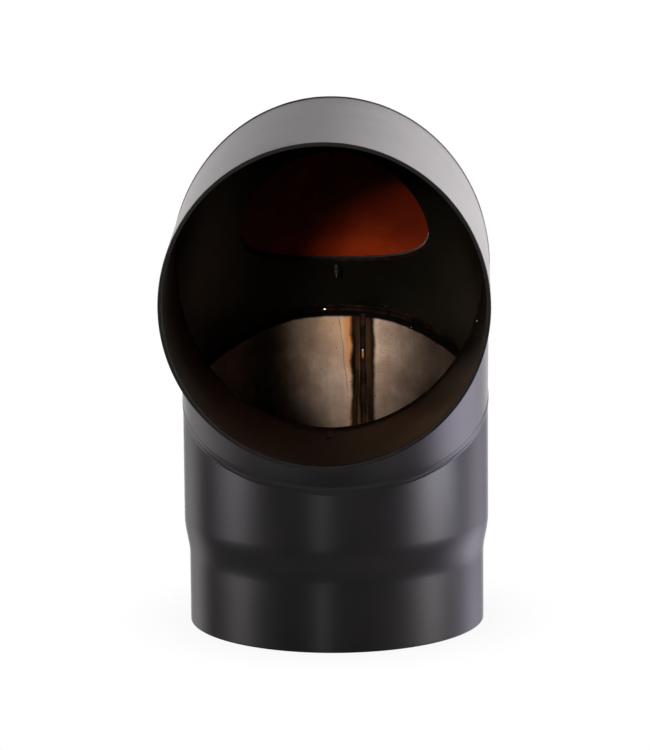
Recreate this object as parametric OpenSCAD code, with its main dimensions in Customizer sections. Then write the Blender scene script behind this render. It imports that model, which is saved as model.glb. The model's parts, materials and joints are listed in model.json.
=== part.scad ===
// Flue elbow, 90 degrees, three welded pieces of rolled sheet, with a cleaning hatch in its heel.
// The origin is the centre of the spigot's open end. The spigot leg rises along +Z, and the
// socket leg opens towards -Y. Its two legs have the same length.

/* [Tube] */
// Outside diameter of the tube
tube_od = 154; // [134:1:204]
// Thickness of the sheet
sheet = 2; // [1.5:0.1:3]
// Widening of the rolled tube behind the sized part of the socket, on the radius
rolled_slack = 0.1; // [0.05:0.05:0.3]

/* [Elbow] */
// Length of each leg on its centreline, from its open end to the mitre
leg_len = 115; // [100:1:160]
// Length of the middle piece on its centreline, from mitre to mitre
mid_len = 116; // [105:1:160]
// Depth to which the socket is sized round
socket_len = 55; // [40:1:62]

/* [Spigot] */
// Outside diameter of the spigot that goes into the next pipe's socket
spigot_od = 149; // [128:0.5:199]
// Length of the spigot's straight part
spigot_len = 34; // [25:1:40]
// Length over which the tube is swaged in
swage_len = 20; // [12:1:25]
// Number of steps in the swage's curve
swage_steps = 8; // [4:1:12]

/* [Welds] */
// Gap between the sheets that a weld fills
root_gap = 1; // [0.6:0.1:1.6]
// Width of a mitre weld
mitre_bead_w = 5; // [3:0.5:8]
// Height of a mitre weld outside the tube
mitre_bead_h = 0.8; // [0.4:0.1:1.5]
// Number of steps round a mitre weld
weld_steps = 72; // [36:12:96]
// Width of a lengthwise weld
seam_bead_w = 3.4; // [2:0.2:6]
// Height of each weld inside the tube
inside_bead_h = 0.6; // [0.55:0.05:1.2]
// Turn of the spigot leg's lengthwise weld from the middle of its back
leg_seam_turn = 9.7; // [-30:0.1:30]

/* [Hatch] */
// Diameter of the cleaning opening
opening_d = 95; // [70:1:96]
// Diameter of the cover, seen along the heel's normal
cover_d = 124; // [120:1:130]
// Thickness of the cover
cover_t = 2; // [1:0.1:3]
// Outside diameter of the gasket, seen along the heel's normal
gasket_d = 120; // [114:1:120]
// Thickness of the gasket
gasket_t = 1; // [0.5:0.1:2]
// Gap left under the gasket
gasket_gap = 0.3; // [0.2:0.05:0.5]

/* [Screws] */
// Diameter over the screw's thread
screw_d = 4.2; // [3.5:0.1:4.8]
// Length of the screw under its head
screw_len = 13; // [9.5:0.5:16]
// Length of the screw's point
screw_point_len = 4; // [2:0.5:5]
// Width of the hexagon across its flats
screw_af = 7; // [5.5:0.5:8]
// Height of the hexagon above its flange
screw_hex_h = 3.2; // [2.5:0.1:4]
// Diameter of the head's flange
screw_flange_d = 8.8; // [7.5:0.1:10.5]
// Thickness of the head's flange
screw_flange_t = 0.9; // [0.6:0.1:1.2]
// Distance of each screw from the middle of the opening
screw_reach = 52; // [51.5:0.5:54]
// Radial clearance of the screws in their holes
screw_clearance = 0.1; // [0.05:0.05:0.1]
// Gap under each screw's head
screw_seat_gap = 0.2; // [0.1:0.05:0.3]

/* [Hidden] */
$fn = 96;

turn = 45;                          // each mitre turns the duct by this angle
mitre = turn / 2;                   // and its plane leans by half of it
tube_r = tube_od / 2;
bore_r = tube_r - sheet;
spigot_r = spigot_od / 2;
swage_end = spigot_len + swage_len;
heel_extra = tube_r * tan(mitre);   // how far a mitre reaches past the centreline at the heel
overrun = 10;                       // how far cutters run past what they cut
weld_shoulder = 0.7;                // share of a mitre weld's height halfway to its edge
inside_weld_share = 0.8;            // width of a mitre weld inside the tube, as a share of outside
reach = leg_len + mid_len + tube_od;

gasket_r = tube_r + gasket_gap;
cover_r = gasket_r + gasket_t;
cover_top_r = cover_r + cover_t;
screw_seat = cover_top_r + screw_seat_gap;
screw_hole_r = screw_d / 2 + screw_clearance;
screw_tip_d = screw_d / 6;

paint = "#2b2a2c";
bare_weld = "#3a3634";
primer = "#a8401c";
fibre = "#c9a79a";
zinc = "#b4b6b8";

// ---- Places: each piece is drawn upright in its own frame and then put on the elbow ----

// The middle piece's frame: Z along its centreline, Y out of its heel
module at_mid() translate([0, 0, leg_len]) rotate([turn, 0, 0]) children();

// The socket leg's frame: Z from the mitre to the mouth, Y up
module at_upper() at_mid() translate([0, 0, mid_len]) rotate([turn, 0, 0]) children();

// The place of the spigot leg's mitre, upright as the leg is
module at_lower() translate([0, 0, leg_len]) children();

// Everything further than `offset` past the mitre plane at the frame's origin
module past_mitre(lean, offset = 0)
    rotate([lean, 0, 0]) translate([-reach, -reach, offset]) cube([2 * reach, 2 * reach, 2 * reach]);

// Everything short of that plane by more than `offset`
module before_mitre(lean, offset = 0)
    rotate([lean, 0, 0]) translate([-reach, -reach, -2 * reach - offset])
        cube([2 * reach, 2 * reach, 2 * reach]);

// A plain ring between two radii
module ring(r_in, r_out, z0, z1)
    translate([0, 0, z0]) difference() {
        cylinder(r = r_out, h = z1 - z0);
        translate([0, 0, -overrun]) cylinder(r = r_in, h = z1 - z0 + 2 * overrun);
    }

// A flat bar that stands radially on the heel side, across the tube's wall
module wall_bar(w, z0, z1)
    translate([-w / 2, bore_r / 2, z0]) cube([w, tube_r, z1 - z0]);

// ---- The spigot leg ----

// Outside radius of the swaged tube at a height, a smooth S from the spigot to the tube
function swage_r(share) = spigot_r + (tube_r - spigot_r) * (1 - cos(180 * share)) / 2;

function leg_line(inset) = concat(
    [[spigot_r - inset, 0], [spigot_r - inset, spigot_len]],
    [for (i = [1 : swage_steps - 1])
        [swage_r(i / swage_steps) - inset, spigot_len + swage_len * i / swage_steps]],
    [[tube_r - inset, swage_end], [tube_r - inset, leg_len + heel_extra + overrun]]);

function reversed(list) = [for (i = [len(list) - 1 : -1 : 0]) list[i]];

// The leg's shell between two depths below its outside
module leg_shell(from_depth, to_depth)
    rotate_extrude() polygon(concat(leg_line(to_depth), reversed(leg_line(from_depth))));

module leg_seam_place() rotate([0, 0, -leg_seam_turn]) children();

module lower_leg()
    color(paint) difference() {
        leg_shell(0, sheet);
        at_lower() past_mitre(mitre, -root_gap / 2);
        leg_seam_place() wall_bar(root_gap, -overrun, reach);
    }

module lower_leg_seam()
    color(bare_weld) difference() {
        union() {
            intersection() {
                leg_shell(0, sheet + inside_bead_h);
                leg_seam_place() wall_bar(root_gap, 0, reach);
            }
            intersection() {
                leg_shell(sheet, sheet + inside_bead_h);
                leg_seam_place() wall_bar(seam_bead_w, 0, reach);
            }
        }
        at_lower() past_mitre(mitre, -mitre_bead_w / 2);
    }

// ---- The middle piece ----

// The seam runs along the throat, opposite the hatch
module mid_seam_place() rotate([0, 0, 180]) children();

module mid_cuts(gap) {
    before_mitre(-mitre, -gap);
    translate([0, 0, mid_len]) past_mitre(mitre, -gap);
}

module heel_hole(r, along)
    translate([0, 0, mid_len / 2 + along]) rotate([-90, 0, 0]) cylinder(r = r, h = tube_od);

module mid_segment()
    color(paint) at_mid() difference() {
        ring(bore_r, tube_r, -heel_extra - overrun, mid_len + heel_extra + overrun);
        mid_cuts(root_gap / 2);
        heel_hole(opening_d / 2, 0);
        heel_hole(screw_hole_r, -screw_reach);
        heel_hole(screw_hole_r, screw_reach);
        mid_seam_place() wall_bar(root_gap, -reach, reach);
    }

module mid_segment_seam()
    color(bare_weld) at_mid() difference() {
        union() {
            intersection() {
                ring(bore_r - inside_bead_h, tube_r, 0, mid_len);
                mid_seam_place() wall_bar(root_gap, 0, mid_len);
            }
            intersection() {
                ring(bore_r - inside_bead_h, bore_r, 0, mid_len);
                mid_seam_place() wall_bar(seam_bead_w, 0, mid_len);
            }
        }
        mid_cuts(mitre_bead_w / 2);
    }

// ---- The socket leg ----

socket_start = leg_len - socket_len;   // height of the sized socket's inner end above the mitre

// The duct inside this leg, `inset` smaller than its wall: sized round, then slightly wider
module socket_bore(inset = 0) {
    inner_end = -heel_extra - overrun;
    mouth_end = leg_len + overrun;
    rotate_extrude() polygon([
        [0, inner_end], [bore_r + rolled_slack - inset, inner_end],
        [bore_r - inset, socket_start], [bore_r - inset, mouth_end], [0, mouth_end]]);
}

// The seam runs along the underside and is ground flush where the next pipe goes in
module upper_seam_place() rotate([0, 0, 180]) children();

module upper_leg()
    color(paint) at_upper() difference() {
        translate([0, 0, -heel_extra - overrun]) cylinder(r = tube_r, h = leg_len + heel_extra + overrun);
        socket_bore();
        before_mitre(-mitre, -root_gap / 2);
        upper_seam_place() wall_bar(root_gap, -reach, reach);
    }

module upper_leg_seam()
    color(bare_weld) at_upper() difference() {
        union() {
            intersection() {
                difference() {
                    cylinder(r = tube_r, h = leg_len);
                    socket_bore();
                }
                upper_seam_place() wall_bar(root_gap, 0, leg_len);
            }
            intersection() {
                difference() {
                    socket_bore();
                    socket_bore(inside_bead_h);
                }
                upper_seam_place() wall_bar(seam_bead_w, 0, socket_start - overrun / 2);
            }
        }
        before_mitre(-mitre, -mitre_bead_w / 2);
    }

// ---- The mitre welds ----

// A point `along` past the mitre's line, on the tube that ends there or the one that starts there
function weld_point(r, angle, along) =
    let (rise = r * sin(angle) * tan(mitre))
    along <= 0
        ? [r * cos(angle), r * sin(angle), rise + along]
        : [r * cos(angle),
           r * sin(angle) * cos(turn) - (along - rise) * sin(turn),
           r * sin(angle) * sin(turn) + (along - rise) * cos(turn)];

// The weld's section, as [radius, distance past the mitre's line]: crowned outside and inside,
// with a root that fills the gap between the sheets
function weld_section() =
    let (
        foot_r = tube_r / cos(180 / weld_steps),
        shoulder_r = foot_r + weld_shoulder * mitre_bead_h,
        edge = mitre_bead_w / 2,
        root = root_gap / 2 / cos(mitre),
        inner_edge = edge * inside_weld_share
    ) [
        [foot_r, -root], [foot_r, -edge], [shoulder_r, -edge / 2], [tube_r + mitre_bead_h, 0],
        [shoulder_r, edge / 2], [foot_r, edge], [foot_r, root],
        [bore_r, root], [bore_r, inner_edge], [bore_r - inside_bead_h, 0],
        [bore_r, -inner_edge], [bore_r, -root]
    ];

// The weld round one mitre, in the frame of the tube that ends there
module mitre_weld() {
    section = weld_section();
    sides = len(section);
    count = weld_steps * sides;
    points = [for (i = [0 : weld_steps - 1], p = section) weld_point(p[0], 360 * i / weld_steps, p[1])];
    faces = [for (i = [0 : weld_steps - 1], j = [0 : sides - 1])
        let (
            next = (j + 1) % sides,
            here = i * sides,
            there = (here + sides) % count
        )
        each [[here + j, there + j, there + next], [here + j, there + next, here + next]]];
    polyhedron(points, faces);
}

module lower_mitre_weld() color(bare_weld) at_lower() mitre_weld();
module upper_mitre_weld() color(bare_weld) at_mid() translate([0, 0, mid_len]) mitre_weld();

// ---- The hatch ----

// A round plate that follows the tube, between two radii
module saddle(d, r_in, r_out)
    intersection() {
        ring(r_in, r_out, mid_len / 2 - d, mid_len / 2 + d);
        heel_hole(d / 2, 0);
    }

module hatch_gasket()
    color(fibre) at_mid() difference() {
        saddle(gasket_d, gasket_r, cover_r);
        heel_hole(opening_d / 2, 0);
        heel_hole(screw_hole_r, -screw_reach);
        heel_hole(screw_hole_r, screw_reach);
    }

module hatch_cover()
    color(primer) at_mid() difference() {
        saddle(cover_d, cover_r, cover_top_r);
        heel_hole(screw_hole_r, -screw_reach);
        heel_hole(screw_hole_r, screw_reach);
    }

// A screw with its head's underside at the origin, pointing down
module screw() {
    shank_len = screw_len - screw_point_len;
    cylinder(d = screw_flange_d, h = screw_flange_t);
    cylinder(d = screw_af / cos(30), h = screw_flange_t + screw_hex_h, $fn = 6);
    translate([0, 0, -shank_len]) cylinder(d = screw_d, h = shank_len + screw_flange_t / 2);
    translate([0, 0, -screw_len])
        cylinder(d1 = screw_tip_d, d2 = screw_d, h = screw_point_len);
}

module at_screw(along)
    at_mid() translate([0, screw_seat, mid_len / 2 + along]) rotate([-90, 0, 0]) children();

module lower_screw() color(zinc) at_screw(-screw_reach) screw();
module upper_screw() color(zinc) at_screw(screw_reach) screw();

lower_leg();
mid_segment();
upper_leg();
lower_mitre_weld();
upper_mitre_weld();
lower_leg_seam();
mid_segment_seam();
upper_leg_seam();
hatch_gasket();
hatch_cover();
lower_screw();
upper_screw();
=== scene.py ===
import json
import math
import random

import bmesh
import bpy
from mathutils import Matrix, Vector, noise


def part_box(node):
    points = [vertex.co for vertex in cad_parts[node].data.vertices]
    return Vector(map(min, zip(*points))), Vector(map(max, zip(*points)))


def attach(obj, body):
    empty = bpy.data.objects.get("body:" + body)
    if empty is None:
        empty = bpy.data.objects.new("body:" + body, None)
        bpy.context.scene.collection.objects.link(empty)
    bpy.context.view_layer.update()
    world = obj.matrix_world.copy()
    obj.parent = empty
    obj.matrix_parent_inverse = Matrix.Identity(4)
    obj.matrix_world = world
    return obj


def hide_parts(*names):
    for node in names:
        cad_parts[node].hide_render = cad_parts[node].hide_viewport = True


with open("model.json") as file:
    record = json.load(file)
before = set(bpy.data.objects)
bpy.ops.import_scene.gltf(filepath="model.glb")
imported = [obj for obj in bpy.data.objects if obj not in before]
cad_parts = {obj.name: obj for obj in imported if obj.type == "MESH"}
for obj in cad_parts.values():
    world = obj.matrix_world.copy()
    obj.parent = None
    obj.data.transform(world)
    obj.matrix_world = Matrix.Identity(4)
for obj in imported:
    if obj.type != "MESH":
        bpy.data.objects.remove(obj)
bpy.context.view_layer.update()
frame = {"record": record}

mm = 0.001

# the pipe sizes and the mouth's place come with the frame
mounts = {mount["name"]: mount for mount in frame["record"]["mounts"]}
mouthCentre = Vector(mounts["socket"]["pos_m"])

elbow = {
    "tubeR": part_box("upper_leg")[1].x,
    "boreR": mounts["socket"]["dims"]["r_mm"] * mm,
    "spigotR": mounts["spigot"]["dims"]["r_mm"] * mm,
    "spigotLength": mounts["spigot"]["dims"]["length_mm"] * mm,
    "swageLength": 20 * mm,
    "legLength": 115 * mm,
    "turn": math.radians(45),
    "rootGap": 1 * mm,
    "rimRound": 0.45 * mm,
    "rimSteps": 4,
    "stepsRound": 240,
    "stepsAlong": 40,
}
elbow["sheet"] = elbow["tubeR"] - elbow["boreR"]
elbow["lean"] = math.tan(elbow["turn"] / 2)          # rise of a mitre per unit of depth
elbow["midLength"] = (mouthCentre.z - elbow["legLength"]) / math.cos(elbow["turn"])

# each frame has Z along its tube, Y out of the heel, and its origin on the mitre where it starts
bend = Matrix.Rotation(elbow["turn"], 4, "X")
lowerFrame = Matrix.Translation((0, 0, elbow["legLength"]))
midFrame = lowerFrame @ bend
upperFrame = midFrame @ Matrix.Translation((0, 0, elbow["midLength"])) @ bend
hatchCentre = midFrame @ Vector((0, elbow["tubeR"], elbow["midLength"] / 2))
heelOut = (midFrame.to_3x3() @ Vector((0, 1, 0))).normalized()
alongHeel = (midFrame.to_3x3() @ Vector((0, 0, 1))).normalized()
print("frame loaded, mouth at", tuple(round(v, 4) for v in mouthCentre))


# in the node helpers a value may also be another node's output
def addNode(tree, kind, **settings):
    node = tree.nodes.new(kind)
    for name, value in settings.items():
        setattr(node, name, value)
    return node


def plug(tree, value, socket):
    if isinstance(value, bpy.types.NodeSocket):
        tree.links.new(value, socket)
    elif value is not None:
        socket.default_value = value


def mathNode(tree, operation, a, b=None, c=None):
    node = addNode(tree, "ShaderNodeMath", operation=operation)
    for value, socket in zip((a, b, c), node.inputs):
        plug(tree, value, socket)
    return node.outputs[0]


def times(tree, a, b):
    return mathNode(tree, "MULTIPLY", a, b)


def timesPlus(tree, a, b, c):
    return mathNode(tree, "MULTIPLY_ADD", a, b, c)


def spread(tree, value, low, high, toLow=0.0, toHigh=1.0, smooth=True):
    node = addNode(tree, "ShaderNodeMapRange")
    node.interpolation_type = "SMOOTHSTEP" if smooth else "LINEAR"
    for item, socket in zip((value, low, high, toLow, toHigh), node.inputs):
        plug(tree, item, socket)
    return node.outputs[0]


def blendColour(tree, factor, a, b):
    node = addNode(tree, "ShaderNodeMix", data_type="RGBA")
    for value, index in ((factor, 0), (a, 6), (b, 7)):
        plug(tree, value, node.inputs[index])
    return node.outputs[2]


def tint(tree, colour, mask, share, other):
    return blendColour(tree, times(tree, mask, share), colour, other)


def vectorNode(tree, operation, a, b):
    node = addNode(tree, "ShaderNodeVectorMath", operation=operation)
    plug(tree, a, node.inputs[0])
    plug(tree, b, node.inputs["Scale" if operation == "SCALE" else 1])
    return node.outputs["Value" if operation == "DOT_PRODUCT" else 0]


def brighten(tree, colour, factor):
    return vectorNode(tree, "SCALE", colour, factor)


def rgb(r, g, b):
    return (r, g, b, 1.0)


def along(tree, vector, direction, origin=(0, 0, 0)):
    # signed distance of a point from a plane through origin
    return vectorNode(tree, "DOT_PRODUCT", vectorNode(tree, "SUBTRACT", vector, origin), direction)


def noiseAt(tree, vector, scale, detail):
    cloud = addNode(tree, "ShaderNodeTexNoise")
    for label, value in (("Vector", vector), ("Scale", scale), ("Detail", detail)):
        plug(tree, value, cloud.inputs[label])
    return cloud.outputs["Fac"]


def stretched(tree, vector, scale):
    # a pattern drawn out along the axis with the small scale
    mapping = addNode(tree, "ShaderNodeMapping")
    mapping.inputs["Scale"].default_value = scale
    plug(tree, vector, mapping.inputs["Vector"])
    return mapping.outputs[0]


def newGroup(name, settings, results):
    # a group that takes a place and numbers, and puts out masks
    group = bpy.data.node_groups.new(name, "ShaderNodeTree")
    group.interface.new_socket("Vector", in_out="INPUT", socket_type="NodeSocketVector")
    for label, value in settings.items():
        socket = group.interface.new_socket(label, in_out="INPUT", socket_type="NodeSocketFloat")
        socket.default_value = value
    for label in results:
        group.interface.new_socket(label, in_out="OUTPUT", socket_type="NodeSocketFloat")
    return group, group.nodes.new("NodeGroupInput").outputs, group.nodes.new("NodeGroupOutput").inputs


def useGroup(tree, group, **values):
    node = addNode(tree, "ShaderNodeGroup", node_tree=group)
    for label, value in values.items():
        plug(tree, value, node.inputs[label])
    return node.outputs


def makeGrain():
    # a cloudy pattern with its contrast set by low and high
    settings = {"Scale": 900.0, "Detail": 3.0, "Low": 0.35, "High": 0.65}
    group, given, result = newGroup("grain", settings, ["Value"])
    cloud = noiseAt(group, given["Vector"], given["Scale"], given["Detail"])
    plug(group, spread(group, cloud, given["Low"], given["High"]), result["Value"])
    return group


def makeSpecks():
    # round specks in some of the cells of a cell pattern
    settings = {"Scale": 700.0, "Size": 0.25, "Share": 0.3}
    group, given, result = newGroup("specks", settings, ["Mask"])
    cells = addNode(group, "ShaderNodeTexVoronoi", feature="F1")
    for label in ("Vector", "Scale"):
        plug(group, given[label], cells.inputs[label])
    core = times(group, given["Size"], 0.55)
    dot = spread(group, cells.outputs["Distance"], core, given["Size"], 1.0, 0.0)
    parts = addNode(group, "ShaderNodeSeparateColor")
    plug(group, cells.outputs["Color"], parts.inputs[0])
    chosen = mathNode(group, "LESS_THAN", parts.outputs[0], given["Share"])
    plug(group, times(group, dot, chosen), result["Mask"])
    return group


def makeHandling():
    # a cloudy film and fine streaks, as handling leaves
    group, given, result = newGroup("handling", {"Amount": 1.0}, ["Film", "Streaks"])
    film = spread(group, noiseAt(group, given["Vector"], 26.0, 4.0), 0.42, 0.72)
    lengthwise = stretched(group, given["Vector"], (1.0, 1.0, 0.12))
    streaks = spread(group, noiseAt(group, lengthwise, 900.0, 2.0), 0.62, 0.78)
    plug(group, times(group, film, given["Amount"]), result["Film"])
    plug(group, times(group, streaks, given["Amount"]), result["Streaks"])
    return group


grainGroup = makeGrain()
specksGroup = makeSpecks()
handlingGroup = makeHandling()


def grain(tree, place, scale, detail, low=0.35, high=0.65):
    return useGroup(tree, grainGroup, Vector=place, Scale=scale, Detail=detail, Low=low, High=high)["Value"]


def specks(tree, place, scale, size, share):
    return useGroup(tree, specksGroup, Vector=place, Scale=scale, Size=size, Share=share)["Mask"]


def newMaterial(name, **settings):
    material = bpy.data.materials.new(name)
    material.use_nodes = True
    tree = material.node_tree
    shader = tree.nodes["Principled BSDF"]
    for label, value in settings.items():
        shader.inputs[label.replace("_", " ")].default_value = value
    place = tree.nodes.new("ShaderNodeTexCoord").outputs["Object"]
    return material, tree, shader, place


def setFinish(tree, shader, colour, rough, relief=None, depth=0.0):
    # depth is how far a relief of 1 stands out
    plug(tree, colour, shader.inputs["Base Color"])
    plug(tree, rough, shader.inputs["Roughness"])
    if relief is None:
        return
    bump = addNode(tree, "ShaderNodeBump")
    bump.inputs["Distance"].default_value = depth
    plug(tree, relief, bump.inputs["Height"])
    plug(tree, bump.outputs[0], shader.inputs["Normal"])


paint = {
    "dark": rgb(0.0088, 0.0082, 0.009),
    "light": rgb(0.0112, 0.0104, 0.0114),
    "dust": rgb(0.16, 0.15, 0.14),
    "rough": (0.295, 0.305),
    "peel": 0.01 * mm,
}


def makeBlackPaint():
    # heat-proof stove paint: satin black, finely pebbled
    material, tree, shader, place = newMaterial("stovePaint", IOR=1.5)
    cloud = grain(tree, place, 38.0, 5.0)
    film = useGroup(tree, handlingGroup, Vector=place, Amount=1.0)["Film"]
    pebble = grain(tree, place, 1500.0, 2.0, 0.3, 0.7)
    dust = specks(tree, place, 210.0, 0.05, 0.16)
    colour = blendColour(tree, cloud, paint["dark"], paint["light"])
    colour = tint(tree, colour, dust, 0.35, paint["dust"])
    rough = spread(tree, film, 0.0, 1.0, *paint["rough"])
    rough = timesPlus(tree, pebble, 0.03, rough)
    relief = timesPlus(tree, dust, 1.5, pebble)
    setFinish(tree, shader, colour, rough, relief, paint["peel"])
    return material


def makeMottled(name, dark, light, cloudGrain, fineGrain, rough, depth, **settings):
    # two close colours in clouds, with a fine even grain
    material, tree, shader, place = newMaterial(name, **settings)
    cloud = grain(tree, place, *cloudGrain)
    fine = grain(tree, place, *fineGrain)
    colour = blendColour(tree, cloud, dark, light)
    setFinish(tree, shader, colour, spread(tree, fine, 0.0, 1.0, *rough), fine, depth)
    return material


overspray = {
    "dark": rgb(0.0052, 0.0056, 0.0036),
    "light": rgb(0.009, 0.0096, 0.0062),
    "dust": rgb(0.13, 0.11, 0.09),
    "rough": (0.32, 0.36),
    "peel": 0.012 * mm,
}


def makeDuctPaint():
    # the thin overspray in the duct: duller, browner, with dust caught in it
    material, tree, shader, place = newMaterial("ductPaint", IOR=1.4, Specular_IOR_Level=0.35)
    cloud = grain(tree, place, 30.0, 6.0)
    pebble = grain(tree, place, 1100.0, 3.0)
    dust = specks(tree, place, 260.0, 0.07, 0.3)
    colour = blendColour(tree, cloud, overspray["dark"], overspray["light"])
    colour = tint(tree, colour, dust, 0.3, overspray["dust"])
    rough = spread(tree, cloud, 0.0, 1.0, *overspray["rough"])
    setFinish(tree, shader, colour, rough, mathNode(tree, "ADD", pebble, dust), overspray["peel"])
    return material


seam = {
    "turn": math.radians(9.7),
    "beadWidth": 3.4 * mm,
    "beadHeight": 0.6 * mm,
    "groundHeight": 0.12 * mm,
    "endTaper": 2 * mm,
    "endGap": 0.6 * mm,
    "steps": 10,
    "scaleHalfWidth": 6.6 * mm,
    "drops": 22,
    "dropReach": (3, 16),
    "dropHeight": (60, 140),
    "dropSize": (0.15, 0.34),
}
seamOut = Vector((math.sin(seam["turn"]), math.cos(seam["turn"]), 0))
seamAcross = Vector((math.cos(seam["turn"]), -math.sin(seam["turn"]), 0))
mitreNormal = Vector((0, -math.sin(elbow["turn"] / 2), math.cos(elbow["turn"] / 2)))


# bands count from the mitre, below 0 beneath it, or across the weld, below 0 to its left
bare = {
    "dark": rgb(0.27, 0.19, 0.145),
    "light": rgb(0.5, 0.365, 0.28),
    "streak": rgb(0.24, 0.165, 0.12),
    "bloom": rgb(0.5, 0.4, 0.33),
    "patina": rgb(0.17, 0.1, 0.062),
    "straw": rgb(0.98, 0.62, 0.34),
    "orange": rgb(0.85, 0.33, 0.09),
    "hairline": rgb(0.22, 0.09, 0.035),
    "pit": rgb(0.075, 0.05, 0.035),
    "scaleDark": rgb(0.013, 0.0075, 0.005),
    "scaleBrown": rgb(0.16, 0.075, 0.035),
    "smoke": rgb(0.005, 0.0045, 0.004),
    # painted light: where below the mitre the colour is brightened, and by how much
    "paintedTopLightBand": (-60 * mm, -4 * mm),
    "paintedTopLightGain": (0.95, 2.9),
    "strawBand": (-40 * mm, -12 * mm),
    "orangeBand": (-10.5 * mm, -7.8 * mm),
    "hairlineAt": 12.4 * mm,
    "smokeDepth": (-3.9 * mm, -6.6 * mm),
    "rough": (0.4, 0.5),
    "relief": 0.012 * mm,
}


def makeBareSheet():
    # the spigot leg's inside: pickled sheet, burnt along its weld and smoked next to the mitre
    material, tree, shader, place = newMaterial("bareSheet", Metallic=0.93)
    sideways = along(tree, place, (1, 0, 0))
    belowMitre = along(tree, place, mitreNormal, (0, 0, elbow["legLength"]))
    waver = noiseAt(tree, place, 90.0, 6.0)
    shift = timesPlus(tree, waver, 4 * mm, -2 * mm)
    seamSide = mathNode(tree, "ADD", along(tree, place, seamAcross), shift)
    seamGap = mathNode(tree, "ABSOLUTE", seamSide)
    heelHalf = mathNode(tree, "GREATER_THAN", along(tree, place, seamOut), 0.0)
    leftOfSeam = mathNode(tree, "LESS_THAN", seamSide, 0.0)
    nearSeam = spread(tree, seamGap, 8 * mm, 30 * mm, 1.0, 0.0)
    nearTop = spread(tree, belowMitre, -34 * mm, -5 * mm)

    cloud = grain(tree, place, 60.0, 5.0, 0.3, 0.7)
    fine = grain(tree, place, 1400.0, 3.0)
    rolled = stretched(tree, place, (1.0, 1.0, 0.06))
    streaks = grain(tree, rolled, 170.0, 4.0, 0.3, 0.7)
    patina = grain(tree, place, 46.0, 7.0, 0.44, 0.66)
    colour = blendColour(tree, cloud, bare["dark"], bare["light"])
    colour = tint(tree, colour, streaks, 0.55, bare["streak"])
    colour = tint(tree, colour, fine, 0.2, bare["bloom"])
    colour = tint(tree, colour, patina, 0.5, bare["patina"])
    # painted light: brighter next to the mitre; painted shade: darker towards the left, where the mouth's rim
    # shades the wall, and towards the right, where the lamp's highlight falls off
    scoured = spread(tree, belowMitre, *bare["paintedTopLightBand"], *bare["paintedTopLightGain"])
    side = timesPlus(tree, shift, 1.2, sideways)
    leftClean = spread(tree, side, -38 * mm, -20 * mm, 0.12, 1.0)
    rightClean = spread(tree, side, 22 * mm, 52 * mm, 1.0, 0.3)
    colour = brighten(tree, colour, times(tree, scoured, times(tree, leftClean, rightClean)))
    # straw and orange tints, strongest at the top beside the weld
    warm = times(tree, nearTop, spread(tree, seamSide, *bare["strawBand"]))
    warm = times(tree, times(tree, warm, leftOfSeam), spread(tree, cloud, 0.0, 1.0, 0.4, 1.0))
    colour = tint(tree, colour, warm, 0.8, bare["straw"])
    edgeBand = times(tree, spread(tree, seamSide, *bare["orangeBand"]),
                     spread(tree, belowMitre, -40 * mm, -16 * mm, 0.15, 1.0))
    colour = tint(tree, colour, times(tree, edgeBand, leftOfSeam), 0.8, bare["orange"])
    # brown hairline in the scale beside the weld
    hair = timesPlus(tree, belowMitre, 0.1, seamSide)
    hair = mathNode(tree, "ABSOLUTE", mathNode(tree, "ADD", hair, bare["hairlineAt"]))
    hair = times(tree, spread(tree, hair, 0.1 * mm, 0.4 * mm, 1.0, 0.0),
                 spread(tree, belowMitre, -44 * mm, -38 * mm))
    colour = tint(tree, colour, hair, 0.5, bare["hairline"])
    # fine pits all over, bigger ones near the weld and the mitre
    pits = times(tree, specks(tree, place, 1000.0, 0.3, 0.28), spread(tree, cloud, 0.0, 1.0, 0.25, 0.7))
    nearEither = mathNode(tree, "MAXIMUM", nearSeam, nearTop)
    bigPits = times(tree, specks(tree, place, 480.0, 0.17, 0.22), nearEither)
    pitted = mathNode(tree, "MAXIMUM", pits, bigPits)
    colour = tint(tree, colour, pitted, 0.85, bare["pit"])
    # black scale along the weld, with brown inside it, and smoke next to the mitre
    scaleEdge = seam["scaleHalfWidth"]
    scale = times(tree, spread(tree, seamGap, scaleEdge + 0.8 * mm, scaleEdge - 1.5 * mm), heelHalf)
    brown = times(tree, spread(tree, seamGap, 1 * mm, 5.4 * mm, 1.0, 0.12), grain(tree, rolled, 620.0, 3.0))
    colour = blendColour(tree, scale, colour, blendColour(tree, brown, bare["scaleDark"], bare["scaleBrown"]))
    smokeEdge = spread(tree, mathNode(tree, "ABSOLUTE", sideways), 20 * mm, 62 * mm, *bare["smokeDepth"])
    smokeLine = timesPlus(tree, waver, 1.6 * mm, belowMitre)
    smoke = spread(tree, mathNode(tree, "SUBTRACT", smokeLine, smokeEdge), -0.3 * mm, 0.9 * mm)
    colour = blendColour(tree, smoke, colour, bare["smoke"])

    dull = mathNode(tree, "MAXIMUM", scale, smoke)
    dull = mathNode(tree, "MAXIMUM", dull, times(tree, pitted, 0.6))
    rough = spread(tree, fine, 0.0, 1.0, *bare["rough"])
    rough = timesPlus(tree, streaks, 0.05, rough)
    rough = timesPlus(tree, dull, 0.25, rough)
    relief = mathNode(tree, "SUBTRACT", fine, times(tree, pitted, 1.6))
    setFinish(tree, shader, colour, rough, relief, bare["relief"])
    return material


burnt = {
    "dark": rgb(0.011, 0.0065, 0.0048),
    "light": rgb(0.048, 0.023, 0.013),
    "crest": rgb(0.13, 0.085, 0.06),
    "rough": (0.5, 0.64),
    "relief": 0.03 * mm,
}


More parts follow.
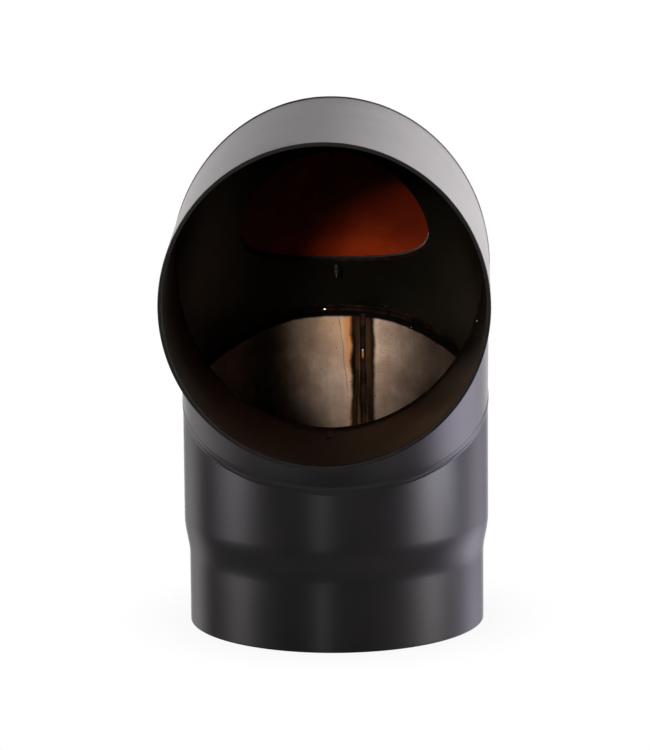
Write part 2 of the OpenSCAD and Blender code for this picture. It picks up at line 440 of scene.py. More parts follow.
def makeBurntWeld():
    # weld metal inside the duct: brown-black scale with a few bare crests
    material, tree, shader, place = newMaterial("burntWeld", Metallic=0.8, Specular_IOR_Level=0.25)
    cloud = grain(tree, place, 160.0, 4.0)
    fine = grain(tree, place, 900.0, 3.0)
    crest = grain(tree, place, 420.0, 2.0, 0.6, 0.72)
    colour = blendColour(tree, cloud, burnt["dark"], burnt["light"])
    colour = tint(tree, colour, crest, 0.35, burnt["crest"])
    setFinish(tree, shader, colour, spread(tree, fine, 0.0, 1.0, *burnt["rough"]), fine, burnt["relief"])
    return material


def makeDroplet(name, dark, light, rough):
    # weld metal that froze bright, or copper-brown where it ran
    material, tree, shader, place = newMaterial(name, Metallic=1.0)
    cloud = grain(tree, place, 500.0, 2.0)
    colour = blendColour(tree, cloud, dark, light)
    setFinish(tree, shader, colour, spread(tree, cloud, 0.0, 1.0, rough, rough + 0.1))
    return material


primer = {
    "dark": rgb(0.27, 0.019, 0.0025),
    "light": rgb(0.4, 0.036, 0.005),
    "chalk": rgb(0.48, 0.055, 0.009),
    "soot": rgb(0.07, 0.02, 0.012),
    "chip": rgb(0.75, 0.5, 0.4),
    # painted light: where up the heel the colour goes from brightened to darkened, and by how much
    "fadeBand": (-46 * mm, -8 * mm),   # up the heel from the hatch's middle
    "paintedLightGain": (1.55, 0.75),
    "rough": (0.5, 0.66),
    "relief": 0.03 * mm,
}


def makeRedOxide():
    # the hatch cover's inner face in red-oxide primer, chalky and specked
    material, tree, shader, place = newMaterial("redOxide", IOR=1.45, Specular_IOR_Level=0.25)
    cloud = grain(tree, place, 45.0, 5.0)
    pebble = grain(tree, place, 1300.0, 3.0)
    chips = specks(tree, place, 420.0, 0.15, 0.04)
    soot = specks(tree, place, 300.0, 0.16, 0.14)
    colour = blendColour(tree, cloud, primer["dark"], primer["light"])
    colour = tint(tree, colour, pebble, 0.3, primer["chalk"])
    # painted light: brighter towards its lower edge and darker towards the top, where less light reaches
    up = along(tree, place, alongHeel, hatchCentre)
    colour = brighten(tree, colour, spread(tree, up, *primer["fadeBand"], *primer["paintedLightGain"]))
    colour = tint(tree, colour, soot, 0.7, primer["soot"])
    colour = tint(tree, colour, chips, 0.8, primer["chip"])
    rough = spread(tree, pebble, 0.0, 1.0, *primer["rough"])
    setFinish(tree, shader, colour, rough, mathNode(tree, "ADD", pebble, chips), primer["relief"])
    return material


fibre = {
    "dark": rgb(0.55, 0.42, 0.36),
    "light": rgb(0.74, 0.64, 0.58),
    "fuzz": rgb(0.85, 0.8, 0.75),
    # painted shade: the dark colour and the ring of the darkened inner edge
    "smoked": rgb(0.03, 0.022, 0.018),
    "paintedShadeRing": (48.2 * mm, 49.4 * mm),
    "relief": 0.12 * mm,
}


def makeFibre():
    # ceramic-fibre paper
    material, tree, shader, place = newMaterial("fibrePaper", Roughness=0.95, IOR=1.35, Sheen_Weight=0.25)
    fuzz = grain(tree, stretched(tree, place, (1.0, 0.35, 0.35)), 2400.0, 4.0)
    cloud = grain(tree, place, 120.0, 4.0)
    colour = blendColour(tree, cloud, fibre["dark"], fibre["light"])
    colour = tint(tree, colour, fuzz, 0.4, fibre["fuzz"])
    # painted shade: darkened near its inner edge, where it faces the duct, for the shadow line along the
    # opening's edge
    across = along(tree, place, (1, 0, 0), hatchCentre)
    up = along(tree, place, alongHeel, hatchCentre)
    squares = timesPlus(tree, across, across, times(tree, up, up))
    reach = timesPlus(tree, fuzz, 0.6 * mm, mathNode(tree, "SQRT", squares))
    smoked = spread(tree, reach, *fibre["paintedShadeRing"], 1.0, 0.0)
    colour = blendColour(tree, smoked, colour, fibre["smoked"])
    setFinish(tree, shader, colour, None, fuzz, fibre["relief"])
    return material


zinc = {
    "dark": rgb(0.5, 0.51, 0.54),
    "light": rgb(0.68, 0.68, 0.66),
    "streak": rgb(0.3, 0.29, 0.27),
    "smoked": rgb(0.07, 0.066, 0.062),
    "fadeBand": (-2.4 * mm, -0.8 * mm),   # out from the tube's outside
    "rough": (0.24, 0.4),
    "relief": 0.006 * mm,
}


def makeZinc():
    # bright zinc plate with faint cloudy passivation, darker where the screw's end is in the duct
    material, tree, shader, place = newMaterial("zincPlate", Metallic=1.0)
    cloud = grain(tree, place, 260.0, 4.0)
    streaks = useGroup(tree, handlingGroup, Vector=place, Amount=1.0)["Streaks"]
    fine = grain(tree, place, 3200.0, 2.0)
    colour = blendColour(tree, cloud, zinc["dark"], zinc["light"])
    colour = tint(tree, colour, streaks, 0.3, zinc["streak"])
    inDuct = spread(tree, along(tree, place, heelOut, hatchCentre), *zinc["fadeBand"], 1.0, 0.0)
    colour = blendColour(tree, inDuct, colour, zinc["smoked"])
    rough = spread(tree, cloud, 0.0, 1.0, *zinc["rough"])
    rough = timesPlus(tree, inDuct, 0.2, rough)
    setFinish(tree, shader, colour, rough, fine, zinc["relief"])
    return material


blackPaint = makeBlackPaint()
# darker, duller paint on the rim faces of the open ends: its darker colour is painted shade for the shade on
# the rims
rimPaint = makeMottled("rimPaint", rgb(0.0045, 0.0042, 0.0045), rgb(0.009, 0.0075, 0.0068),
                       (240.0, 4.0), (1800.0, 2.0), (0.5, 0.62), 0.015 * mm, IOR=1.4, Specular_IOR_Level=0.3)
ductPaint = makeDuctPaint()
bareSheet = makeBareSheet()
# the holes' cut walls: bare cut steel, its colour made dark as painted shade for the shadow line along the
# opening's edge
cutEdge = makeMottled("cutEdge", rgb(0.02, 0.017, 0.015), rgb(0.045, 0.038, 0.033),
                      (180.0, 3.0), (2200.0, 2.0), (0.5, 0.65), 0.02 * mm, Metallic=0.9)
burntWeld = makeBurntWeld()
weldDrop = makeDroplet("weldDrop", rgb(0.75, 0.55, 0.4), rgb(0.95, 0.88, 0.8), 0.2)
copperRun = makeDroplet("copperRun", rgb(0.55, 0.2, 0.06), rgb(0.8, 0.42, 0.18), 0.4)
redOxide = makeRedOxide()
fibrePaper = makeFibre()
zincPlate = makeZinc()
print("finishes made:", len(bpy.data.materials))


def addObject(name, data):
    piece = bpy.data.objects.new(name, data)
    bpy.context.scene.collection.objects.link(piece)
    return piece


def ringPoint(radius, angle, height):
    return Vector((radius * math.cos(angle), radius * math.sin(angle), height))


def roundAngles(sides):
    return [2 * math.pi * i / sides for i in range(sides)]


def meshObject(name, points, faces, materials, faceSlots=None, sharp=32):
    mesh = bpy.data.meshes.new(name)
    mesh.from_pydata([tuple(point) for point in points], [], faces)
    for material in materials:
        mesh.materials.append(material)
    if faceSlots:
        mesh.polygons.foreach_set("material_index", faceSlots)
    piece = addObject(name, mesh)
    smoothPiece(piece, sharp)
    return piece


def smoothPiece(piece, sharp):
    work = bmesh.new()
    work.from_mesh(piece.data)
    bmesh.ops.recalc_face_normals(work, faces=work.faces)
    for face in work.faces:
        face.smooth = True
    for edge in work.edges:
        edge.smooth = len(edge.link_faces) == 2 and edge.calc_face_angle(0) < math.radians(sharp)
    work.to_mesh(piece.data)
    work.free()
    piece.modifiers.new("evenShade", "WEIGHTED_NORMAL").keep_sharp = True


def sweepRound(count, sectionAt, slotAt):
    # a closed section carried round a closed path
    points, faces, slots = [], [], []
    for i in range(count):
        section = sectionAt(2 * math.pi * i / count)
        sides = len(section)
        here, there = i * sides, (i + 1) % count * sides
        points += section
        for j in range(sides):
            k = (j + 1) % sides
            faces.append((here + j, here + k, there + k, there + j))
            slots.append(slotAt(j))
    return points, faces, slots


def sweepOpen(sections):
    # closed sections one after another, with both ends capped
    sides = len(sections[0])
    points = [point for section in sections for point in section]
    faces = []
    for i in range(len(sections) - 1):
        for j in range(sides):
            k = (j + 1) % sides
            faces.append((i * sides + j, i * sides + k, (i + 1) * sides + k, (i + 1) * sides + j))
    last = (len(sections) - 1) * sides
    faces.append(tuple(range(sides)))
    faces.append(tuple(range(last, last + sides)))
    return points, faces


def join(parts):
    # several (points, faces, slot or slots) as one
    points, faces, slots = [], [], []
    for partPoints, partFaces, slot in parts:
        start = len(points)
        points += partPoints
        faces += [tuple(start + index for index in face) for face in partFaces]
        slots += slot if isinstance(slot, list) else [slot] * len(partFaces)
    return points, faces, slots


def arcOf(count, first, last):
    return [first + (last - first) * i / count for i in range(count + 1)]


def cutHoles(piece, cutters):
    for cutter in cutters:
        cut = piece.modifiers.new("hole", "BOOLEAN")
        cut.operation = "DIFFERENCE"
        cut.solver = "EXACT"
        cut.material_mode = "INDEX"
        cut.object = cutter
    bpy.context.view_layer.update()
    whole = piece.evaluated_get(bpy.context.evaluated_depsgraph_get())
    mesh = bpy.data.meshes.new_from_object(whole)
    piece.modifiers.clear()
    piece.data = mesh
    for cutter in cutters:
        bpy.data.objects.remove(cutter)


def drill(radius, place, direction, slot, materials, length, sides):
    # a round cutter whose wall takes the given slot
    turnTo = direction.to_track_quat("Z", "Y").to_matrix()
    points = [place + turnTo @ ringPoint(radius, angle, height)
              for height in (-length / 2, length / 2) for angle in roundAngles(sides)]
    faces = [(i, (i + 1) % sides, sides + (i + 1) % sides, sides + i) for i in range(sides)]
    faces += [tuple(range(sides - 1, -1, -1)), tuple(range(sides, 2 * sides))]
    cutter = meshObject("cutter", points, faces, materials, [slot] * len(faces))
    cutter.modifiers.clear()
    return cutter


def finishPiece(piece, body, slot, *nodes):
    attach(piece, body)
    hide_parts(*nodes)


def swageR(share):
    # the outside radius on the way through the swage
    return elbow["spigotR"] + (elbow["tubeR"] - elbow["spigotR"]) * (1 - math.cos(math.pi * share)) / 2


def spigotStations():
    # (outside radius, distance from the open end, share of the way to the mitre)
    stations = [(elbow["spigotR"], elbow["spigotLength"] * share, 0) for share in arcOf(6, 0.06, 1)]
    for share in arcOf(16, 0, 1)[1:]:
        stations.append((swageR(share), elbow["spigotLength"] + elbow["swageLength"] * share, 0))
    start = stations[-1][1]
    return stations + [(elbow["tubeR"], start, share) for share in arcOf(8, 0, 1)[1:]]


def socketStations():
    start = 2 * mm
    return [(elbow["tubeR"], start, share) for share in arcOf(12, 0, 1)]


def legSection(stations, angle):
    corner = elbow["rimRound"]
    openR = stations[0][0]
    inside = openR - elbow["sheet"]
    reach = elbow["legLength"] - elbow["rootGap"] / 2 / math.cos(elbow["turn"] / 2)

    def at(radius, distance, share):
        rise = radius * math.sin(angle) * elbow["lean"]
        distance += (reach + rise - distance) * share
        return ringPoint(radius, angle, distance)

    quarter = arcOf(elbow["rimSteps"], 0, math.pi / 2)
    points = [at(openR - corner + corner * math.sin(t), corner - corner * math.cos(t), 0) for t in quarter]
    points += [at(*station) for station in stations]
    points += [at(radius - elbow["sheet"], distance, share) for radius, distance, share in reversed(stations)]
    points += [at(inside + corner - corner * math.cos(t), corner - corner * math.sin(t), 0) for t in quarter]
    return points


def makeLeg(name, stations, frameOf, insideMaterial, node):
    outsideCount = elbow["rimSteps"] + 1 + len(stations)
    insideEnd = outsideCount + len(stations)

    def slotAt(j):
        if j >= insideEnd - 1 or j < 1:
            return 2
        return 1 if j >= outsideCount else 0

    points, faces, slots = sweepRound(elbow["stepsRound"], lambda a: legSection(stations, a), slotAt)
    points = [frameOf @ point for point in points]
    leg = meshObject(name, points, faces, [blackPaint, insideMaterial, rimPaint], slots)
    finishPiece(leg, "elbow", "black_paint", node)


fromMouth = upperFrame @ Matrix.Translation((0, 0, elbow["legLength"])) @ Matrix.Diagonal((1, 1, -1, 1))
makeLeg("lowerLeg", spigotStations(), Matrix.Identity(4), bareSheet, "lower_leg")
makeLeg("upperLeg", socketStations(), fromMouth, ductPaint, "upper_leg")
print("legs made")


hatch = {
    "openingR": 47.5 * mm,
    "coverR": 62 * mm,
    "coverRound": 0.5 * mm,
    "gasketR": 60 * mm,
    "gasketRound": 0.3 * mm,
    "screwReach": 52 * mm,
    "screwHoleR": 2.2 * mm,
    "gasketLift": 0.05 * mm,
    "coverLift": 1.3 * mm,
    "coverTop": 3.3 * mm,
    "stepsRound": 144,
    "stepsAcross": 14,
}


def screwPlace(side):
    return hatchCentre + alongHeel * hatch["screwReach"] * side


def screwHoles(slot, materials):
    return [drill(hatch["screwHoleR"], screwPlace(side), heelOut, slot, materials, 30 * mm, 32)
            for side in (-1, 1)]


def midSection(angle):
    inset = elbow["rootGap"] / 2 / math.cos(elbow["turn"] / 2)

    def at(radius, share):
        rise = radius * math.sin(angle) * elbow["lean"]
        low, high = inset - rise, elbow["midLength"] - inset + rise
        return ringPoint(radius, angle, low + (high - low) * share)

    shares = arcOf(elbow["stepsAlong"], 0, 1)
    return [at(elbow["tubeR"], s) for s in shares] + [at(elbow["boreR"], s) for s in reversed(shares)]


def makeMid():
    outsideCount = elbow["stepsAlong"] + 1
    points, faces, slots = sweepRound(elbow["stepsRound"], midSection, lambda j: int(j >= outsideCount))
    materials = [blackPaint, ductPaint, cutEdge]
    mid = meshObject("midSegment", [midFrame @ p for p in points], faces, materials, slots)
    mid.modifiers.clear()
    opening = drill(hatch["openingR"], hatchCentre, heelOut, 2, materials, 60 * mm, 192)
    cutHoles(mid, [opening] + screwHoles(2, materials))
    smoothPiece(mid, 32)
    finishPiece(mid, "elbow", "black_paint", "mid_segment")


makeMid()
print("middle piece made")


weld = {
    "halfWidth": 2.9 * mm,
    "height": 0.4 * mm,
    "insideHeight": 0.6 * mm,
    "pitch": 1.7 * mm,
    "ripple": 0.07 * mm,
    "bow": 0.9,
    "sunk": 0.15 * mm,
    "stepsPerRipple": 5,
    "stepsOutside": 12,
    "stepsInside": 8,
    "drops": 16,
    "dropReach": (3, 9),
    "dropSize": (0.25, 0.55),
}


def rippleAt(distance, share, seed):
    # one ripple per pitch, bowed back towards the bead's edges
    uneven = noise.noise(Vector((distance / (6 * mm), seed, 0))) * 0.5
    phase = 2 * math.pi * (distance / weld["pitch"] + uneven) - weld["bow"] * share * share * 2
    return weld["ripple"] * (0.5 + 0.5 * math.cos(phase)) ** 0.7 * (1 - share ** 4)


def crown(distance, halfWidth, height, seed, count, calm=1.0, fade=0.8):
    # (height over the sheet, offset from the bead's middle) across the bead
    wide = halfWidth * (1 + 0.1 * noise.noise(Vector((distance / (9 * mm), seed, 3))))
    drift = 0.25 * mm * noise.noise(Vector((distance / (16 * mm), seed, 7)))
    full = (height - weld["ripple"]) * (1 + 0.15 * noise.noise(Vector((distance / (12 * mm), seed, 11))))
    profile = []
    for share in arcOf(count, -1, 1):
        lift = full * (1 - share * share) ** fade + rippleAt(distance, share, seed) * calm
        profile.append((lift if abs(share) < 1 else -weld["sunk"], share * wide + drift))
    return profile


def mitrePoint(radius, angle, offset):
    # a point by the mitre, offset along the tube that ends there or the one that starts there
    rise = radius * math.sin(angle) * elbow["lean"]
    if offset <= 0:
        return ringPoint(radius, angle, rise + offset)
    return bend @ ringPoint(radius, angle, offset - rise)


def mitreSection(angle, seed):
    distance = elbow["tubeR"] * angle
    root = elbow["rootGap"] / 2
    outside = crown(distance, weld["halfWidth"], weld["height"], seed, weld["stepsOutside"], 0.35, 1.5)
    inside = crown(distance, weld["halfWidth"] * 0.8, weld["insideHeight"], seed + 20, weld["stepsInside"])
    section = [(elbow["tubeR"] + lift, offset) for lift, offset in outside]
    section += [(elbow["tubeR"] - weld["sunk"], root), (elbow["boreR"] + weld["sunk"], root)]
    section += [(elbow["boreR"] - lift, offset) for lift, offset in reversed(inside)]
    section += [(elbow["boreR"] + weld["sunk"], -root), (elbow["tubeR"] - weld["sunk"], -root)]
    return [mitrePoint(radius, angle, offset) for radius, offset in section]


def spatter(place, out, up, size, stretch=1.0, squash=0.75):
    # a frozen drop on a surface: a squashed dome, longer along up where it ran
    side = out.cross(up).normalized()
    rings, sides = 5, 12
    points = [place + out * size * squash]
    faces = []
    for i in range(1, rings + 1):
        tilt = math.pi / 2 * i / rings * 1.15
        for j in range(sides):
            angle = 2 * math.pi * j / sides
            flat = side * math.cos(angle) + up * math.sin(angle) * stretch
            points.append(place + flat * size * math.sin(tilt) + out * size * squash * math.cos(tilt))
    for j in range(sides):
        faces.append((0, 1 + j, 1 + (j + 1) % sides))
    for i in range(rings - 1):
        for j in range(sides):
            a, b = 1 + i * sides, 1 + (i + 1) * sides
            k = (j + 1) % sides
            faces.append((a + j, b + j, b + k, a + k))
    last = 1 + (rings - 1) * sides
    faces.append(tuple(range(last, last + sides)))
    return points, faces


def makeMitreWeld(name, frameOf, node, seed, glint=None):
    count = int(2 * math.pi * elbow["tubeR"] / weld["pitch"]) * weld["stepsPerRipple"]
    parts = [sweepRound(count, lambda a: mitreSection(a, seed), lambda j: int(j > weld["stepsOutside"]))]
    draw = random.Random(seed)
    for _ in range(weld["drops"]):
        angle = draw.uniform(0, 2 * math.pi)
        offset = draw.choice((-1, 1)) * draw.uniform(*weld["dropReach"]) * mm
        place = mitrePoint(elbow["boreR"], angle, offset)
        inward, up = -ringPoint(1, angle, 0), Vector((0, 0, 1))
        if offset > 0:
            inward, up = bend.to_3x3() @ inward, bend.to_3x3() @ up
        parts.append((*spatter(place, inward, up, draw.uniform(*weld["dropSize"]) * mm), 2))
    if glint:
        # one bright run of weld metal, lying along the bead
        place = mitrePoint(elbow["boreR"] - weld["insideHeight"] * 0.75, glint, -0.6 * mm)
        out = Vector((-0.09, -0.96, 0.25)).normalized()
        sideways = out.cross(Vector((0, 0, 1))).normalized()
        parts.append((*spatter(place, out, sideways, 0.75 * mm, 1.7, 0.3), 2))
    points, faces, slots = join(parts)
    materials = [blackPaint, burntWeld, weldDrop]
    piece = meshObject(name, [frameOf @ p for p in points], faces, materials, slots, 60)
    finishPiece(piece, "elbow", "weld", node)


makeMitreWeld("lowerMitreWeld", lowerFrame, "lower_mitre_weld", 5, math.radians(95.5))
upperMitre = midFrame @ Matrix.Translation((0, 0, elbow["midLength"]))
makeMitreWeld("upperMitreWeld", upperMitre, "upper_mitre_weld", 8)


def straightBead(radiusAt, turnTo, low, high, outside, seed):
    # a lengthwise bead on the inner wall, or a ground one on the outer wall
    half = seam["beadWidth"] / 2
    height = seam["groundHeight"] if outside else seam["beadHeight"]
    wider, lower = (1.3, 0.35) if outside else (1, 1)
    count = int((high - low) / weld["pitch"]) * weld["stepsPerRipple"]
    sections = []
    for i in range(count + 1):
        distance = low + (high - low) * i / count
        ends = min(1, (distance - low) / seam["endTaper"], (high - distance) / seam["endTaper"])
        section = []
        for lift, offset in crown(distance, half * wider, height, seed, seam["steps"], 0.3):
            lift = max(lift * lower * math.sqrt(max(ends, 0)), -weld["sunk"])
            radius = radiusAt(distance) + (lift if outside else -lift)
            section.append(Vector((offset, radius, distance)))
        sunk = radiusAt(distance) - weld["sunk"] * (2 if outside else -2)
        section.append(Vector((0, sunk, distance)))
        sections.append([turnTo @ point for point in section])
    return sweepOpen(sections)


def lowerOuterR(distance):
    start, length = elbow["spigotLength"], elbow["swageLength"]
    return swageR(min(1, max(0, (distance - start) / length)))


def makeLowerSeam():
    turnTo = Matrix.Rotation(-seam["turn"], 4, "Z")
    top = elbow["legLength"] + elbow["boreR"] * math.cos(seam["turn"]) * elbow["lean"] - weld["halfWidth"]
    inner = straightBead(lambda s: lowerOuterR(s) - elbow["sheet"], turnTo, seam["endGap"], top, False, 31)
    outer = straightBead(lowerOuterR, turnTo, seam["endGap"], top, True, 32)
    radius = elbow["boreR"] - seam["beadHeight"] * 0.8
    upward = Vector((0, 0, 1))
    run = spatter(seamOut * radius + upward * 121 * mm, -seamOut, upward, 0.85 * mm, 3.2, 0.45)
    tip = spatter(seamOut * (radius - 0.15 * mm) + upward * 123.4 * mm, -seamOut, upward, 0.5 * mm, 1.5, 0.5)
    parts = [(*inner, 1), (*outer, 0), (*run, 3), (*tip, 2)]
    draw = random.Random(4)
    for _ in range(seam["drops"]):
        side = draw.choice((-1, 1)) * draw.uniform(*seam["dropReach"]) * mm
        height = draw.uniform(*seam["dropHeight"]) * mm
        angle = side / elbow["boreR"] + seam["turn"]
        out = Vector((math.sin(angle), math.cos(angle), 0))
        place = out * elbow["boreR"] + upward * height
        parts.append((*spatter(place, -out, upward, draw.uniform(*seam["dropSize"]) * mm), 1))
    points, faces, slots = join(parts)
    materials = [blackPaint, burntWeld, weldDrop, copperRun]
    piece = meshObject("lowerLegSeam", points, faces, materials, slots, 60)
    finishPiece(piece, "elbow", "weld", "lower_leg_seam")


def makeThroatSeam(name, frameOf, low, high, outerHigh, node, seed):
    turnTo = frameOf @ Matrix.Rotation(math.pi, 4, "Z")
    inner = straightBead(lambda s: elbow["boreR"], turnTo, low, high, False, seed)
    outer = straightBead(lambda s: elbow["tubeR"], turnTo, low, outerHigh, True, seed + 1)
    points, faces, slots = join([(*inner, 1), (*outer, 0)])
    piece = meshObject(name, points, faces, [blackPaint, ductPaint], slots, 60)
    finishPiece(piece, "elbow", "weld", node)


makeLowerSeam()
rise = elbow["tubeR"] * elbow["lean"] + weld["halfWidth"]
makeThroatSeam("midSegmentSeam", midFrame, rise, elbow["midLength"] - rise, elbow["midLength"] - rise,
               "mid_segment_seam", 41)
makeThroatSeam("upperLegSeam", upperFrame, rise, elbow["legLength"] - 60 * mm, elbow["legLength"] - 0.8 * mm,
               "upper_leg_seam", 51)
print("welds made")


def saddlePoint(flat, angle, radius):
    # a point of a round plate that follows the tube, in the middle piece's frame
    x = flat * math.cos(angle)
    return Vector((x, math.sqrt(radius * radius - x * x), elbow["midLength"] / 2 + flat * math.sin(angle)))


def makeSaddle(name, innerR, outerR, lowLift, highLift, corner, materials, node, slot):
    # the underside takes the last material, the rest the first
    low, high = elbow["tubeR"] + lowLift, elbow["tubeR"] + highLift
    flats = arcOf(hatch["stepsAcross"], 0, 1)
    profile = [(innerR + (outerR - corner - innerR) * s, low) for s in flats]
    profile += [(outerR, low + corner)]
    profile += [(outerR - corner + corner * math.cos(t), high - corner + corner * math.sin(t))
                for t in arcOf(4, 0, math.pi / 2)]
    profile += [(innerR + (outerR - corner - innerR) * s, high) for s in reversed(flats[:-1])]

    def sectionAt(angle):
        return [midFrame @ saddlePoint(flat, angle, radius) for flat, radius in profile]

    underSlot = len(materials) - 1
    points, faces, slots = sweepRound(
        hatch["stepsRound"], sectionAt, lambda j: underSlot if j < hatch["stepsAcross"] else 0)
    piece = meshObject(name, points, faces, materials, slots)
    piece.modifiers.clear()
    if innerR < 1 * mm:
        # a full disc closes in its middle
        work = bmesh.new()
        work.from_mesh(piece.data)
        bmesh.ops.remove_doubles(work, verts=work.verts, dist=0.02 * mm)
        bmesh.ops.delete(work, geom=[edge for edge in work.edges if not edge.link_faces], context="EDGES")
        work.to_mesh(piece.data)
        work.free()
    cutHoles(piece, screwHoles(0, materials))
    smoothPiece(piece, 32)
    finishPiece(piece, "hatch", slot, node)


makeSaddle("hatchGasket", hatch["openingR"], hatch["gasketR"], hatch["gasketLift"], hatch["coverLift"],
           hatch["gasketRound"], [fibrePaper], "hatch_gasket", "gasket_fibre")
makeSaddle("hatchCover", 0.005 * mm, hatch["coverR"], hatch["coverLift"], hatch["coverTop"],
           hatch["coverRound"], [blackPaint, redOxide], "hatch_cover", "hatch_steel")
print("hatch made")


screw = {
    "acrossFlats": 7 * mm,
    "hexHeight": 3.2 * mm,
    "flangeR": 4.4 * mm,
    "flangeHeight": 0.9 * mm,
    "crestR": 2.1 * mm,
    "rootR": 1.55 * mm,
    "pitch": 1.4 * mm,
    "length": 13 * mm,
    "pointLength": 4 * mm,
    "seatLift": 0.2 * mm,
    "rim": 0.15 * mm,
    "sides": 72,
}


def hexR(angle, limit):
    flat = screw["acrossFlats"] / 2
    sector = math.radians(60)
    return min(flat / math.cos((angle % sector) - sector / 2), limit)


def screwRings():
    # rings of (radius at an angle, height) from the point up to the middle of the head
    rings = []
    steps = int(screw["length"] / (screw["pitch"] / 12))
    for i in range(steps + 1):
        height = -screw["length"] + screw["length"] * i / steps

        def threadR(angle, height=height):
            turnShare = (height / screw["pitch"] - angle / (2 * math.pi)) % 1
            ridge = max(0, 1 - abs(turnShare - 0.5) / 0.32)
            rest = screw["rootR"] + (screw["crestR"] - screw["rootR"]) * ridge
            taper = min(1, (height + screw["length"]) / screw["pointLength"] * 0.85 + 0.1)
            neck = min(1, max(0, -height / (1.2 * mm)))
            return (screw["rootR"] + (rest - screw["rootR"]) * neck) * taper

        rings.append((threadR, height))
    flangeR, lift = screw["flangeR"], screw["flangeHeight"]
    rim = screw["rim"]
    for t in arcOf(3, 0, math.pi / 2):
        rings.append((lambda a, r=flangeR - rim + rim * math.sin(t): r, rim - rim * math.cos(t)))
    for t in arcOf(3, 0, math.pi / 2):
        rings.append((lambda a, r=flangeR - rim + rim * math.cos(t): r, lift * 0.6 - rim + rim * math.sin(t)))
    top = screw["flangeHeight"] + screw["hexHeight"]
    corner = screw["acrossFlats"] / 2 / math.cos(math.radians(30))
    rings.append((lambda a: hexR(a, corner) + 0.12 * mm, lift))
    rings.append((lambda a: hexR(a, corner), lift + 0.12 * mm))
    for drop, limit in ((0.55, 1.0), (0.4, 0.985), (0.2, 0.955), (0.06, 0.92), (0.0, 0.9)):
        rings.append((lambda a, limit=limit: hexR(a, corner * limit), top - drop * mm))
    dish = screw["acrossFlats"] / 2 * 0.72
    for share, drop in ((1.0, 0.0), (0.94, 0.12), (0.8, 0.26), (0.4, 0.3)):
        rings.append((lambda a, r=dish * share: r, top - drop * mm))
    angles = roundAngles(screw["sides"])
    return [[ringPoint(radiusAt(angle), angle, height) for angle in angles] for radiusAt, height in rings]


def makeScrew(name, side, node):
    seat = screwPlace(side) + heelOut * (hatch["coverTop"] + screw["seatLift"])
    turnTo = heelOut.to_track_quat("Z", "Y").to_matrix().to_4x4()
    place = Matrix.Translation(seat) @ turnTo @ Matrix.Rotation(0.4 * side, 4, "Z")
    points, faces = sweepOpen(screwRings())
    piece = meshObject(name, [place @ p for p in points], faces, [zincPlate], None, 28)
    finishPiece(piece, node, "zinc_plate", node)


makeScrew("lowerScrew", -1, "lower_screw")
makeScrew("upperScrew", 1, "upper_screw")
print("screws made")


view = {
    "azimuth": math.radians(1.426),
    "elevation": math.radians(11.503),
    "roll": math.radians(0.484),
    "distance": 2.385241,
    "aimHeight": 0.125257,
    "lens": 226.863,
    "shift": -0.013763,
    "clipEnd": 20,
}


def makeCamera():
    az, el = view["azimuth"], view["elevation"]
    back = Vector((math.sin(az) * math.cos(el), -math.cos(az) * math.cos(el), math.sin(el)))
    data = bpy.data.cameras.new("viewCamera")
    data.lens = view["lens"]
    data.shift_x = view["shift"]
    data.clip_end = view["clipEnd"]
    camera = addObject("viewCamera", data)
    right = Vector((0, 0, 1)).cross(back).normalized()
    up = back.cross(right)
    c, s = math.cos(view["roll"]), math.sin(view["roll"])
    rolledRight, rolledUp = right * c - up * s, up * c + right * s
    basis = Matrix((rolledRight, rolledUp, back)).transposed()
    camera.matrix_world = (Matrix.Translation(Vector((0, 0, view["aimHeight"])) + back * view["distance"])
                           @ basis.to_4x4())
    bpy.context.scene.camera = camera


makeCamera()


# azimuth 0 is in front of the mouth and 90 to its right; glows below 0 stand for the white floor
cool, plain = (1.02, 0.97, 1.18), (1.04, 0.99, 1.0)
studio = {
    "floorHalf": 4.0,
    "contact": 0.05,   # how far the shade round the foot reaches
    "poolSize": (0.5, 0.3),
    "lampBlend": 0.35,
    # azimuth, elevation, half width, strength, colour
    "glows": {
        "rightBox": (80, 10, 24, 14.8, plain),
        "leftBox": (280, 10, 24, 9.2, plain),
        "backWall": (180, -8, 24, 2.0, plain),
        "backRight": (160, 10, 24, 0.82, plain),
        "backLeft": (220, -8, 24, 0.52, plain),
        "backLeftFloor": (220, -25, 24, 0.4, plain),
        "rightFloor": (120, -25, 24, 1.1, cool),
        "backRightFloor": (140, -25, 24, 1.35, cool),
        "underFloor": (0, -80, 72, 0.28, plain),
        "overhead": (180, 72, 40, 0.6, plain),
    },
    "rightPool": {"place": (0.58, -0.12, 0.001), "power": 1.95, "colour": (0.97, 0.95, 1.2)},
    "leftPool": {"place": (-0.58, -0.12, 0.001), "power": 0.3, "colour": (0.97, 0.93, 1.25)},
    "mouthLamp": {"az": -12.3, "el": 16, "reach": 2.2, "power": 140, "cone": 7, "soft": 0.13,
                  "colour": (1.0, 0.97, 0.92)},
    "legLamp": {"az": -10, "el": -12, "reach": 2.2, "power": 14, "cone": 3.2, "soft": 0.12,
                "colour": (1.0, 0.96, 1.02)},
}


def toward(az, el):
    az, el = math.radians(az), math.radians(el)
    return Vector((math.sin(az) * math.cos(el), -math.cos(az) * math.cos(el), math.sin(el)))


def stageOnly(piece):
    # seen by the eye, but neither reflected nor in the way of the light
    for ray in ("diffuse", "glossy", "transmission", "volume_scatter", "shadow"):
        setattr(piece, "visible_" + ray, False)


def flatPiece(name, points, material):
    mesh = bpy.data.meshes.new(name)
    mesh.from_pydata(points, [], [tuple(range(len(points)))])
    mesh.materials.append(material)
    return addObject(name, mesh)


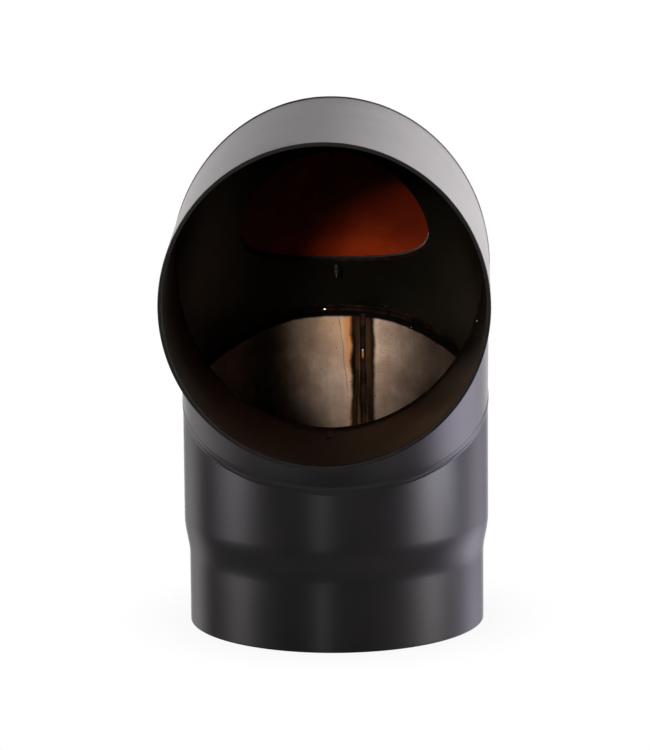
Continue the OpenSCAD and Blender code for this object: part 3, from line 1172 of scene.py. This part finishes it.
def makeFloor():
    material, tree, shader, place = newMaterial("floorPaper", Roughness=1.0, Specular_IOR_Level=0.0)
    near = addNode(tree, "ShaderNodeAmbientOcclusion", samples=8)
    near.inputs["Distance"].default_value = studio["contact"]
    glow = spread(tree, near.outputs["AO"], 0.0, 1.0, 0.86, 1.0, smooth=False)
    glow = timesPlus(tree, grain(tree, place, 300.0, 3.0), 0.01, glow)
    shader.inputs["Base Color"].default_value = rgb(0, 0, 0)
    shader.inputs["Emission Color"].default_value = rgb(1, 1, 1)
    plug(tree, glow, shader.inputs["Emission Strength"])
    half = studio["floorHalf"]
    corners = [(-half, -half, 0), (half, -half, 0), (half, half, 0), (-half, half, 0)]
    floor = flatPiece("floor", corners, material)
    stageOnly(floor)


def makeUnderside():
    # closes the open end that the elbow stands on, just under the floor
    material, tree, shader, place = newMaterial("shadedFloor", Roughness=1.0, Specular_IOR_Level=0.0)
    shade = grain(tree, place, 300.0, 3.0)
    colour = blendColour(tree, shade, rgb(0.3, 0.3, 0.3), rgb(0.33, 0.33, 0.33))
    setFinish(tree, shader, colour, None)
    gap = 0.3 * mm
    points = [ringPoint(elbow["spigotR"] - gap, angle, -gap) for angle in roundAngles(96)]
    disc = flatPiece("underside", points, material)


def makeSky():
    # white all round to the eye; the light itself comes from soft patches of it
    world = bpy.data.worlds.new("studioSky")
    bpy.context.scene.world = world
    world.use_nodes = True
    tree = world.node_tree
    tree.nodes.clear()
    direction = addNode(tree, "ShaderNodeTexCoord").outputs["Generated"]
    light = None
    for az, el, width, strength, hue in studio["glows"].values():
        facing = along(tree, direction, toward(az, el))
        glow = brighten(tree, hue, spread(tree, facing, math.cos(math.radians(width)), 1.0, 0.0, strength))
        light = vectorNode(tree, "ADD", light, glow) if light else glow
    seen = addNode(tree, "ShaderNodeLightPath").outputs["Is Camera Ray"]
    sky = addNode(tree, "ShaderNodeBackground")
    plug(tree, blendColour(tree, seen, light, rgb(1, 1, 1)), sky.inputs["Color"])
    result = addNode(tree, "ShaderNodeOutputWorld")
    tree.links.new(sky.outputs[0], result.inputs["Surface"])


def makeLight(name, kind):
    spec = studio[name]
    data = bpy.data.lights.new(name, kind)
    data.energy = spec["power"]
    data.color = spec["colour"]
    light = addObject(name, data)
    light.visible_camera = False
    return spec, data, light


def makeLamp(name, aim):
    spec, data, lamp = makeLight(name, "SPOT")
    data.shadow_soft_size = spec["soft"]
    data.spot_size = math.radians(spec["cone"])
    data.spot_blend = studio["lampBlend"]
    lamp.location = aim + toward(spec["az"], spec["el"]) * spec["reach"]
    lamp.rotation_euler = (aim - lamp.location).to_track_quat("-Z", "Y").to_euler()


def makePool(name):
    # the bright patch that a side box throws on the floor
    spec, data, pool = makeLight(name, "AREA")
    data.shape = "RECTANGLE"
    data.size, data.size_y = studio["poolSize"]
    pool.location = spec["place"]
    pool.rotation_euler = (math.pi, 0, 0)


makeFloor()
makeUnderside()
makeSky()
makePool("rightPool")
makePool("leftPool")
makeLamp("mouthLamp", mouthCentre)
makeLamp("legLamp", Vector((0, -elbow["tubeR"], 0.05)))
bpy.context.scene.view_settings.view_transform = "Standard"
print("camera, floor and light made")
